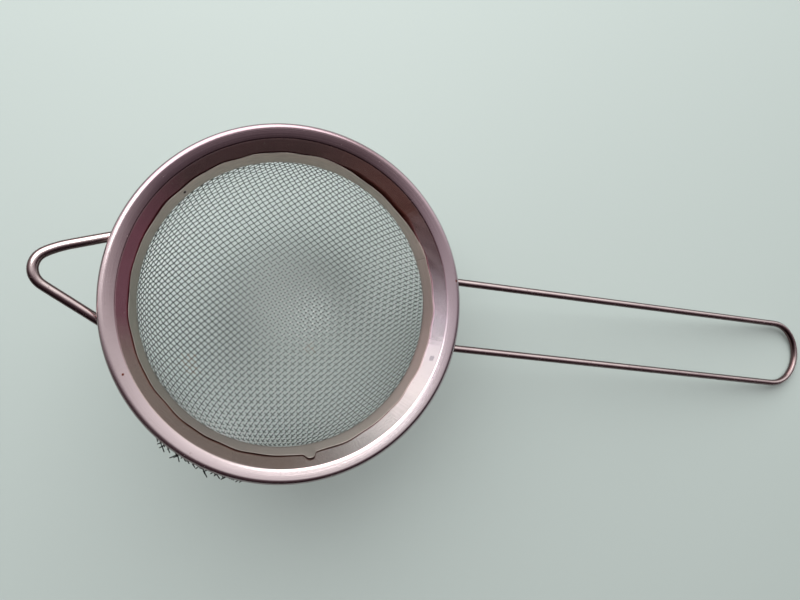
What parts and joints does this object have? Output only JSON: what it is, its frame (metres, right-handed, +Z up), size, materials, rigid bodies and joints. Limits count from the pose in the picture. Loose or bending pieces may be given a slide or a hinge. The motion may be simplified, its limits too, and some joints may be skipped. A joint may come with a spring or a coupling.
{
  "type": "tea strainer",
  "caption": "Round handheld tea strainer: rolled sheet rim, woven wire bowl, long wire loop handle and a short wire rest opposite.",
  "frame": {"origin": "centre of the bounding box's bottom: the strainer as it rests on a table, on its bowl and the end of its handle", "axes": "+X along the handle, away from the bowl; +Y to the left of the handle, seen from above; +Z up. The bowl's own axis leans 12.1 degrees from +Z towards the handle, in the XZ plane."},
  "size_m": [0.2052, 0.08, 0.0488],
  "materials": {
    "polished_sheet": "bright pressed stainless sheet with fine turned lines on the brim",
    "matte_strip": "dull grey-green, unpolished side of a thin strip with a raw edge",
    "wire_cloth": "dark grey drawn wire, slightly tea stained",
    "plain_sheet": "satin stainless strip",
    "bent_wire": "bright drawn wire with faint length lines",
    "weld_metal": "dull, slightly heat darkened"
  },
  "bodies": {
    "root": {"rim_ring": "polished_sheet", "throat_band": "matte_strip", "mesh_bowl": "wire_cloth", "backing_ring": "plain_sheet", "handle_wire": "bent_wire", "rest_wire": "bent_wire", "handle_welds": "weld_metal", "rest_welds": "weld_metal"}
  },
  "joints": []
}
